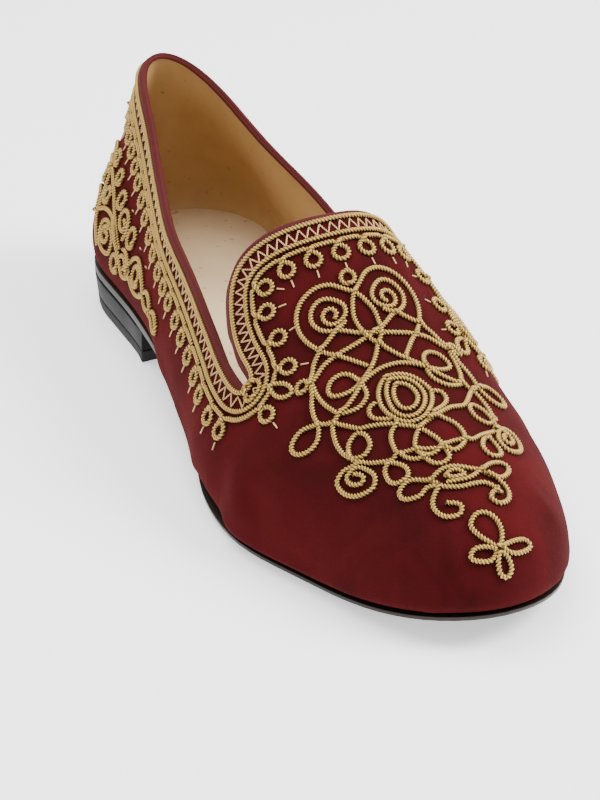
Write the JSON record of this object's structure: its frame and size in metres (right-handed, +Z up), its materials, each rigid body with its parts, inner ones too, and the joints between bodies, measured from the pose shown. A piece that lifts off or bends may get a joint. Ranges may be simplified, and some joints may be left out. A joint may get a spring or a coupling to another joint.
{
  "type": "slipper loafer",
  "caption": "Right-foot slipper loafer with a hollow bound upper, side notches, a rounded vamp tab, a thin outsole and a low heel.",
  "frame": {"origin": "middle of the shoe's bounding box in plan, on the ground it stands on", "axes": "+X towards the toe, +Z up, -Y towards the outer (lateral) side of the right foot"},
  "size_m": [0.2596, 0.0934, 0.0753],
  "materials": {
    "suede": "matt burgundy suede",
    "binding": "matt burgundy ribbon",
    "sock": "smooth beige leather",
    "sole_leather": "smooth dark brown leather",
    "heel_cover": "smooth black leather",
    "lift_rubber": "matt black rubber"
  },
  "bodies": {
    "root": {"upper": "suede", "topline_binding": "binding", "insole": "sock", "outsole": "sole_leather", "heel_stack": "heel_cover", "heel_lift": "lift_rubber"}
  },
  "joints": []
}
